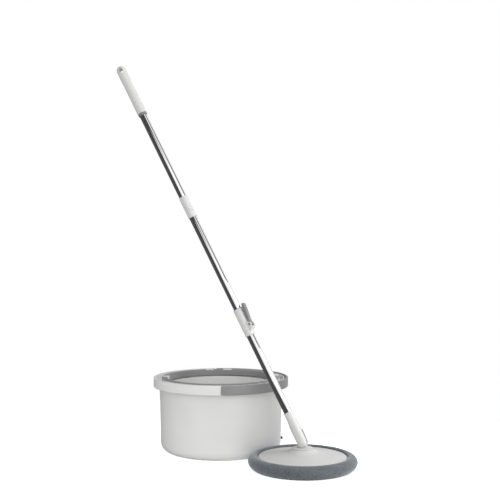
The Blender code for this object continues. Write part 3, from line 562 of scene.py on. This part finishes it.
head = {"steps": 128, "skirt": 2.4 * mm, "plateRadius": 122 * mm,
        "bell": [(29, 0.0), (33, 2.2), (38, 6.2), (44, 9.2), (56, 12.0), (85, 16.5),
                 (119, 21.2)]}


def smoothLine(points, steps):
    # a Catmull-Rom curve through the points of an outline
    ends = [points[0], *points, points[-1]]
    made = []
    for i in range(1, len(ends) - 2):
        p0, p1, p2, p3 = (Vector(p) for p in ends[i - 1:i + 3])
        for step in range(steps):
            t = step / steps
            point = 0.5 * (2 * p1 + (p2 - p0) * t + (2 * p0 - 5 * p1 + 4 * p2 - p3) * t * t
                           + (3 * p1 - p0 - 3 * p2 + p3) * t ** 3)
            made.append((point.x, point.y))
    made.append(points[-1])
    return made


def makePlate():
    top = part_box("head_plate")[1].z
    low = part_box("head_plate")[0].z
    wall, edge = head["skirt"], head["plateRadius"]
    bell = smoothLine([(r * mm, top - drop * mm) for r, drop in head["bell"]], 5)
    lip = [bell[-1], (edge, top - 23.0 * mm), (edge, low), (edge - wall, low),
           (edge - wall, top - 24.6 * mm)]
    outline = [(2.8 * mm, top)] + bell + eased(lip, 1.6 * mm, False)[1:-1] + [lip[-1]]
    outline += [(r - wall * 0.4, z - wall) for r, z in reversed(bell)]
    outline += [(2.8 * mm, top - wall)]
    plate = turned("headPlate", outline, head["steps"], True)
    return standIn(settle(plate, headFrame), "head_plate")


def makeHub():
    low, flange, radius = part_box("hub")[0].z, 2.2 * mm, 29 * mm
    high = low + flange
    outline = [(0, high + 0.8 * mm), (18 * mm, high + 0.8 * mm), (27 * mm, high),
               (radius, high - 0.8 * mm), (radius, low), (0, low)]
    hub = turned("hubFlange", eased(outline, 0.9 * mm, False), head["steps"])
    tongue = [(-15 * mm, low + 1 * mm), (-12.6 * mm, high + 3 * mm)]
    tongue += arc((0, forkPin.z), 9.5 * mm, 172, 8, 22)
    tongue += [(12.6 * mm, high + 3 * mm), (15 * mm, low + 1 * mm)]
    work(hub, "UNION", slab("tongue", eased(tongue, 2 * mm), 11 * mm, 0.8 * mm))
    work(hub, "DIFFERENCE", cylinder("tongueBore", 2.4 * mm, -0.02, 0.02, "Y",
                                     (0, 0, forkPin.z)))
    return standIn(settle(hub, headFrame), "hub")


pad = {
    "around": 420,              # points round the pad
    "across": 84,               # points across its pile
    "tuft": 3.4 * mm,           # a chenille tuft's width
    "tuftHeight": 0.9 * mm,
    "puff": 1.6 * mm,           # most that the foam may swell
    "recess": 12 * mm,          # height of the recess that the plate sits in
    "under": 0.4 * mm,          # height of the flat underside
    "pileStart": 123.5 * mm,    # the pile grows outside this radius
    "foamStart": 124 * mm,      # and the foam shows outside this one
    "pressure": 3.0,
    "swellFrames": 12,
}


def padOutline(count):
    # from the recess's edge over the rounded rim to the flat underside
    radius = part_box("pad")[1].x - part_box("pad")[0].x
    radius = radius / 2 - 1.2 * mm
    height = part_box("pad")[1].z - 0.6 * mm
    roll = 18 * mm
    points = [(122.9 * mm, 13 * mm), (123.2 * mm, 22 * mm), (124.6 * mm, 29.5 * mm)]
    for step in range(19):
        angle = radians(118 - 208 * step / 18)
        points.append((radius - roll + roll * cos(angle), height / 2 + height / 2 * sin(angle)))
    points += [(120 * mm, pad["under"]), (60 * mm, pad["under"])]
    dense = smoothLine(points, 8)
    lengths = [0.0]
    for a, b in zip(dense, dense[1:]):
        lengths.append(lengths[-1] + (Vector(b) - Vector(a)).length)
    made, i = [], 0
    for step in range(count):
        goal = lengths[-1] * step / (count - 1)
        while i < len(dense) - 2 and lengths[i + 1] < goal:
            i += 1
        share = (goal - lengths[i]) / max(lengths[i + 1] - lengths[i], 1e-9)
        made.append(tuple(Vector(dense[i]).lerp(Vector(dense[i + 1]), share)))
    return made


def foamShape():
    # the pad's foam under its cover swells a little under a cloth simulation
    outline = [(0, pad["recess"])] + padOutline(26) + [(0, pad["under"])]
    foam = turned("foam", outline, 96)
    start = [v.co.copy() for v in foam.data.vertices]
    cloth = foam.modifiers.new("swell", "CLOTH")
    cloth.settings.use_pressure = True
    cloth.settings.uniform_pressure_force = pad["pressure"]
    cloth.settings.effector_weights.gravity = 0
    cloth.settings.quality = 5
    cloth.point_cache.frame_start = 1
    cloth.point_cache.frame_end = pad["swellFrames"]
    for frameNumber in range(1, pad["swellFrames"] + 1):
        bpy.context.scene.frame_set(frameNumber)
    ready = foam.evaluated_get(bpy.context.evaluated_depsgraph_get())
    swollen = [v.co.copy() for v in ready.data.vertices]
    foam.modifiers.clear()
    bpy.context.scene.frame_set(1)
    for vert, before, after in zip(foam.data.vertices, start, swollen):
        move = after - before
        if move.length > pad["puff"]:
            move = move.normalized() * pad["puff"]
        vert.co = before + move
    return foam


def makePad():
    foam = foamShape()
    outline = padOutline(pad["across"])
    shape = bmesh.new()
    rings = []
    for i in range(pad["around"]):
        turn = 2 * pi * i / pad["around"]
        rings.append([shape.verts.new((r * cos(turn), r * sin(turn), z)) for r, z in outline])
    for i, ring in enumerate(rings):
        after = rings[(i + 1) % len(rings)]
        for j in range(len(ring) - 1):
            shape.faces.new((ring[j], ring[j + 1], after[j + 1], after[j]))
    for at, height in ((0, 13 * mm), (-1, pad["under"])):
        middle = shape.verts.new((0, 0, height))
        for i, ring in enumerate(rings):
            after = rings[(i + 1) % len(rings)]
            pair = (ring[at], after[at]) if at == 0 else (after[at], ring[at])
            shape.faces.new((*pair, middle))
    bmesh.ops.recalc_face_normals(shape, faces=shape.faces)
    shape.normal_update()

    # Follow the swollen foam, then raise the tufts of the pile.
    bpy.context.view_layer.update()
    for vert in shape.verts:
        found, point = foam.closest_point_on_mesh(vert.co)[:2]
        flat = Vector((vert.co.x, vert.co.y)).length
        if found and flat > pad["foamStart"] and vert.co.z > 1 * mm:
            vert.co = point
    shape.normal_update()
    cells = 1 / pad["tuft"]
    for vert in shape.verts:
        flat = Vector((vert.co.x, vert.co.y)).length
        if flat < pad["pileStart"]:
            continue
        near = noise.voronoi(vert.co * cells)[0][0]
        fluff = noise.noise(vert.co * cells * 2.3)
        lift = pad["tuftHeight"] * (0.55 - near + 0.35 * fluff)
        vert.co += vert.normal * lift
        vert.co.z = max(vert.co.z, 0.1 * mm)
    piece = objectFrom(shape, "chenillePad")
    bpy.data.objects.remove(foam, do_unlink=True)
    # Set square to the world, so that the box round the pad is no larger than the pad.
    standIn(settle(piece, Matrix.Translation((forkPin.x, forkPin.y, 0))), "pad")
    piece.data.set_sharp_from_angle(angle=radians(180))
    return piece


makePlate()
makeHub()
makePad()
print("mop head made")


# Neck, tubes and drive

def roundSection(height, halfX, halfY, power, points):
    ring = []
    for i in range(points):
        c, s = cos(2 * pi * i / points), sin(2 * pi * i / points)
        x = halfX * abs(c) ** (2 / power) * (1 if c >= 0 else -1)
        y = halfY * abs(s) ** (2 / power) * (1 if s >= 0 else -1)
        ring.append(Vector((x, y, height)))
    return ring


neck = {
    "points": 72,
    # height above the pin, half widths and squareness of each section, in mm
    "sections": [(-13.5, 13.0, 15.0, 2.7), (-6.0, 13.8, 16.5, 2.7), (10.0, 14.5, 17.2, 2.7),
                 (30.0, 15.0, 17.0, 2.5), (45.0, 14.8, 16.0, 2.3), (62.0, 13.8, 14.4, 2.1),
                 (80.0, 13.1, 13.2, 2.0), (85.5, 13.0, 13.0, 2.0), (87.1, 12.9, 12.9, 2.0),
                 (87.7, 12.3, 12.3, 2.0)],
    "endRadius": 12.6 * mm,
    "slotHalf": 5.9 * mm,
    "slotTop": 31 * mm,
    "socket": 11.9 * mm,
}


def makeNeck():
    rows = []
    sections = neck["sections"]
    for (h0, x0, y0, p0), (h1, x1, y1, p1) in zip(sections, sections[1:]):
        steps = max(1, round((h1 - h0) / 4))
        for step in range(steps):
            t = step / steps
            ease = t * t * (3 - 2 * t)
            rows.append(roundSection((h0 + (h1 - h0) * t) * mm, (x0 + (x1 - x0) * ease) * mm,
                                     (y0 + (y1 - y0) * ease) * mm, p0 + (p1 - p0) * t,
                                     neck["points"]))
    h, x, y, p = sections[-1]
    rows.append(roundSection(h * mm, x * mm, y * mm, p, neck["points"]))
    shape = bmesh.new()
    rings = [[shape.verts.new(point) for point in row] for row in rows]
    for low, high in zip(rings, rings[1:]):
        for i in range(len(low)):
            j = (i + 1) % len(low)
            shape.faces.new((low[i], low[j], high[j], high[i]))
    shape.faces.new(list(reversed(rings[0])))
    shape.faces.new(rings[-1])
    piece = objectFrom(shape, "neckFork")
    r = neck["endRadius"]
    outline = [(-0.02, 0.10), (-0.02, 0.014), (-0.0128, 0.004)]
    outline += arc((0, 0), r, 190, 350, 36) + [(0.0128, 0.004), (0.02, 0.014), (0.02, 0.10)]
    work(piece, "INTERSECT", slab("forkEnd", outline, 0.05))
    slot = eased([(-0.03, -0.03), (0.03, -0.03), (0.03, neck["slotTop"]),
                  (-0.03, neck["slotTop"])], 1 * mm)
    foot = span("lower_tube")[0]
    button = (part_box("neck_button")[0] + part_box("neck_button")[1]) / 2
    buttonUp = (button - forkPin).dot(handleUp)
    work(piece, "DIFFERENCE", slab("forkSlot", slot, 2 * neck["slotHalf"]),
         cylinder("forkBore", 2.4 * mm, -0.03, 0.03, "Y"),
         cylinder("neckSocket", neck["socket"], foot - 0.8 * mm, 0.1),
         cylinder("buttonHole", 3 * mm, 0.010, 0.020, "X", (0, 0, buttonUp)))
    return standIn(settle(piece, handleFrame), "neck")


def makeTube(node, wall):
    low, high = span(node)
    outer = reach(node)
    outline = [(outer, high), (outer, low), (outer - wall, low), (outer - wall, high)]
    piece = turned(node + "_fine", eased(outline, 0.12 * mm, steps=2), 72, True)
    return standIn(settle(piece, handleFrame), node)


makeNeck()
makeTube("lower_tube", 0.35 * mm)
makeTube("middle_tube", 0.4 * mm)
makeTube("upper_tube", 0.4 * mm)
makeTube("grip_ring", 1.6 * mm)
print("neck and tubes made")


# Clamp

clamp = {"outer": 13.9 * mm, "seat": 12.9 * mm, "earGap": 7.3 * mm, "earThick": 3.2 * mm,
         "pinBore": 2.7 * mm, "edge": 0.7 * mm}


def makeClamp():
    low, high = span("clamp_collar")
    socket, bore = reach("lower_tube") + 0.3 * mm, reach("middle_tube") + 0.4 * mm
    tubeEnd = span("lower_tube")[1] + 0.3 * mm
    outer, seat = clamp["outer"], clamp["seat"]
    outline = [(outer, high), (outer, low), (socket, low), (socket, tubeEnd), (bore, tubeEnd),
               (bore, high - 10 * mm), (seat, high - 10 * mm), (seat, high)]
    collar = turned("clampCollar", eased(outline, 0.45 * mm), 96, True)
    ear = [(12.2 * mm, pinUp + 13 * mm), (16 * mm, pinUp + 7 * mm)]
    ear += arc((pinOut, pinUp), 5.6 * mm, 75, -20, 10)
    ear += [(22.6 * mm, pinUp - 8 * mm), (22 * mm, pinUp - 10.5 * mm),
            (18.5 * mm, pinUp - 12.8 * mm), (12.2 * mm, pinUp - 18 * mm)]
    bridge = [(12.5 * mm, pinUp - 8.5 * mm), (21.6 * mm, pinUp - 8.3 * mm),
              (21.4 * mm, pinUp - 10.1 * mm), (18.1 * mm, pinUp - 12.2 * mm),
              (12.5 * mm, pinUp - 16.8 * mm)]
    toLever = handleFrame.inverted() @ leverFrame
    tools = []
    for side in (-1, 1):
        lug = slab("ear", eased(ear, 1.5 * mm), clamp["earThick"], clamp["edge"])
        lug.data.transform(Matrix.Translation((0, side * (clamp["earGap"]
                                                          + clamp["earThick"] / 2), 0)))
        tools.append(lug)
    tools.append(slab("earBridge", eased(bridge, 0.8 * mm), 2 * clamp["earGap"] + 1 * mm))
    window = brick("shoeWindow", (10 * mm, -5.9 * mm, pinUp - 6.5 * mm),
                   (16 * mm, 5.9 * mm, pinUp + 6.5 * mm))
    pinHole = cylinder("pinHole", clamp["pinBore"], -0.02, 0.02, "Y", (pinOut, 0, pinUp))
    for tool in (*tools, window, pinHole):
        tool.data.transform(toLever)
    work(collar, "UNION", *tools)
    work(collar, "DIFFERENCE", window, pinHole)
    return standIn(settle(collar, handleFrame), "clamp_collar")


def makeLever():
    tip = span("clamp_lever")[1] - pinUp
    nose = arc((0, 0), 4.3 * mm, 8, -200, 24)
    back = [(9.6 * mm, tip - 4 * mm), (9.2 * mm, 50 * mm), (7.8 * mm, 36 * mm),
            (6.2 * mm, 24 * mm), (4.4 * mm, 14 * mm), (4.2 * mm, 6 * mm)]
    front = [(-2.6 * mm, 9 * mm), (-2.4 * mm, 26 * mm), (-1.2 * mm, 41 * mm),
             (1.2 * mm, 53 * mm), (3.2 * mm, tip - 1 * mm), (5.6 * mm, tip)]
    outline = smoothLine(back, 4) + nose + smoothLine(front, 4)
    lever = slab("lockLever", outline, 14 * mm, 1.6 * mm)
    work(lever, "DIFFERENCE", cylinder("leverBore", clamp["pinBore"], -0.02, 0.02, "Y"))
    where = leverFrame @ Matrix.Translation((pinOut, 0, pinUp))
    return standIn(settle(lever, where), "clamp_lever")


makeClamp()
makeLever()
print("clamp made")


# Tube joint and grip

seam = {"slant": radians(43), "middle": 726 * mm, "gap": 0.35 * mm}


def makeJointShell(node, side):
    low, high = span(node)
    outer, bore = reach(node), reach("middle_tube") + 0.3 * mm
    if side > 0:
        high = seam["middle"] + 14 * mm
    else:
        low = seam["middle"] - 14 * mm
    outline = [(outer, high), (outer, low), (bore, low), (bore, high)]
    shell = turned(node + "_fine", eased(outline, 0.7 * mm), 80, True)
    near, far = sorted((-side * seam["gap"] / 2, side * 0.06))
    cut = brick("seamCut", (-0.06, -0.04, near), (0.06, 0.04, far))
    cut.data.transform(Matrix.Translation((0, 0, seam["middle"]))
                       @ Matrix.Rotation(seam["slant"], 4, "Y"))
    work(shell, "DIFFERENCE", cut)
    return standIn(settle(shell, handleFrame), node)


def makeGrip():
    low, high = span("grip")
    dome, bore = 14 * mm, reach("upper_tube") + 0.3 * mm
    tubeTop = span("upper_tube")[1] + 0.3 * mm
    body = [(14.2 * mm, high - 30 * mm), (13.8 * mm, 1.140), (13.7 * mm, 1.100),
            (14.0 * mm, 1.060), (14.0 * mm, low + 2 * mm)]
    outline = [(0, high)] + arc((0, high - dome), dome, 84, 0, 14)
    outline += smoothLine(body, 6)
    outline += eased([body[-1], (13.8 * mm, low), (bore, low), (bore, tubeTop)], 0.6 * mm,
                     False)[1:]
    outline += [(0, tubeTop)]
    grip = turned("handGrip", outline, 96)
    hookHole = frame["record"]["physics"]["openings"][-1]["box_m"]
    middle = (Vector(hookHole[0]) + Vector(hookHole[1])) / 2
    up = (middle - forkPin).dot(handleUp)
    through = Vector((0, 1, 0)) - handleUp * handleUp.y
    local = handleFrame.inverted().to_3x3() @ through
    half, wide = 8.5 * mm, 5 * mm
    rounds = arc((0, half - wide), wide, 0, 180, 14) + arc((0, wide - half), wide, 180, 360, 14)
    hole = slab("hangingHole", rounds, 0.05, turn=atan2(-local.x, local.y))
    hole.data.transform(Matrix.Translation((0, 0, up)))
    work(grip, "DIFFERENCE", hole)
    return standIn(settle(grip, handleFrame), "grip")


makeJointShell("joint_shell_lower", 1)
makeJointShell("joint_shell_upper", -1)
makeGrip()
print("grip made")

# The other nodes keep their shapes and take the same finishes.
for node, piece in frame["nodes"].items():
    piece.data.materials.clear()
    piece.data.materials.append(finishes[slotOf[node]])
    ridden.append((piece, bodyOf[node]))


# Studio

def makeStudio():
    floor = {"size": 1.8, "colour": "#f4f4f4", "lift": 0.75}
    bpy.ops.mesh.primitive_plane_add(size=floor["size"], location=(0.05, 0, -0.0005))
    ground = bpy.context.object
    ground.name = "paleFloor"
    material, tree, surface, place = startMaterial("pale studio floor")
    # the floor glows a little for the camera alone, so that it melts into the white backdrop
    rays = addNode(tree, "ShaderNodeLightPath")
    lift = addNode(tree, "ShaderNodeMath", {0: rays.outputs["Is Camera Ray"], 1: floor["lift"]},
                   operation="MULTIPLY")
    tree.links.new(lift.outputs[0], surface.inputs["Emission Strength"])
    surface.inputs["Emission Color"].default_value = (1, 1, 1, 1)
    surface.inputs["Base Color"].default_value = linear(floor["colour"])
    surface.inputs["Roughness"].default_value = 0.8
    ground.data.materials.append(material)
    ground.visible_glossy = False

    # The bucket is lit from the front and the mop more from the right, each with its own lamp.
    bucketBodies = {"bucket", "bail", "splash_ring", "basket", "drain_plug"}
    lit = {name: bpy.data.collections.new(name + "Lit") for name in ("bucket", "mop")}
    lit["bucket"].objects.link(ground)
    for piece, body in ridden:
        lit["bucket" if body in bucketBodies else "mop"].objects.link(piece)
        piece.visible_glossy = body not in bucketBodies     # the chrome mirrors the studio alone
    lights = {
        "front": ((0.25, -3.0, 1.5), (0.0, 0.0, 0.2), 2.2, 15, None),
        "bucketFront": ((0.1, -3.0, 1.5), (0.0, 0.0, 0.1), 2.2, 18, "bucket"),
        "mopRight": ((2.2, -1.0, 1.3), (0.1, -0.2, 0.4), 1.4, 31, "mop"),
        "top": ((0.2, -0.9, 2.8), (0.0, 0.0, 0.1), 1.8, 19, "bucket"),
    }
    for name, (spot, target, size, watts, only) in lights.items():
        lamp = bpy.data.lights.new(name, "AREA")
        lamp.size = size
        lamp.energy = watts
        made = bpy.data.objects.new(name, lamp)
        bpy.context.scene.collection.objects.link(made)
        made.location = spot
        made.rotation_euler = (Vector(target) - Vector(spot)).to_track_quat("-Z", "Y").to_euler()
        if only:
            made.light_linking.receiver_collection = lit[only]

    # An even soft light for matt skins, a white backdrop to look at, and for the chrome the
    # panels of a studio by their bearing: dark on the left, white on the right of the camera.
    world = bpy.data.worlds.new("studio")
    bpy.context.scene.world = world
    world.use_nodes = True
    tree = world.node_tree
    tree.nodes.clear()
    way = addNode(tree, "ShaderNodeTexCoord").outputs["Generated"]
    split = addNode(tree, "ShaderNodeSeparateXYZ", {"Vector": way})
    front = addNode(tree, "ShaderNodeMath", {0: split.outputs["Y"], 1: -1.0},
                    operation="MULTIPLY")
    bearing = addNode(tree, "ShaderNodeMath", {0: split.outputs["X"], 1: front.outputs[0]},
                      operation="ARCTAN2")
    turnShare = addNode(tree, "ShaderNodeMapRange", {"Value": bearing.outputs[0],
                                                     "From Min": -pi, "From Max": pi})
    panels = addNode(tree, "ShaderNodeValToRGB", {"Fac": turnShare.outputs[0]})
    stops = [(-180, 0.17), (-120, 0.11), (-30, 0.06), (12, 0.09), (28, 1.1), (62, 1.1),
             (68, 0.14), (104, 0.14), (110, 1.0), (180, 1.0)]
    ramp = panels.color_ramp
    while len(ramp.elements) < len(stops):
        ramp.elements.new(0.5)
    for element, (degrees, level) in zip(ramp.elements, stops):
        element.position = (degrees + 180) / 360
        element.color = (level, level, level, 1)
    rays = addNode(tree, "ShaderNodeLightPath")
    glossy = addNode(tree, "ShaderNodeMixRGB", {"Fac": rays.outputs["Is Glossy Ray"],
                                                "Color1": (0.58, 0.58, 0.58, 1),
                                                "Color2": panels.outputs[0]})
    seen = addNode(tree, "ShaderNodeMixRGB", {"Fac": rays.outputs["Is Camera Ray"],
                                              "Color1": glossy.outputs[0],
                                              "Color2": (1, 1, 1, 1)})
    glow = addNode(tree, "ShaderNodeBackground", {"Color": seen.outputs[0]})
    addNode(tree, "ShaderNodeOutputWorld", {"Surface": glow.outputs[0]})

    camera = bpy.data.objects.new("camera", bpy.data.cameras.new("camera"))
    bpy.context.scene.collection.objects.link(camera)
    camera.data.lens = 58.82
    camera.data.sensor_width = 36
    camera.location = (0.0870, -2.4625, 0.5463)
    camera.rotation_euler = (radians(91.134), 0, 0)
    bpy.context.scene.camera = camera
    bpy.context.scene.view_settings.view_transform = "Standard"


makeStudio()
print("studio made")
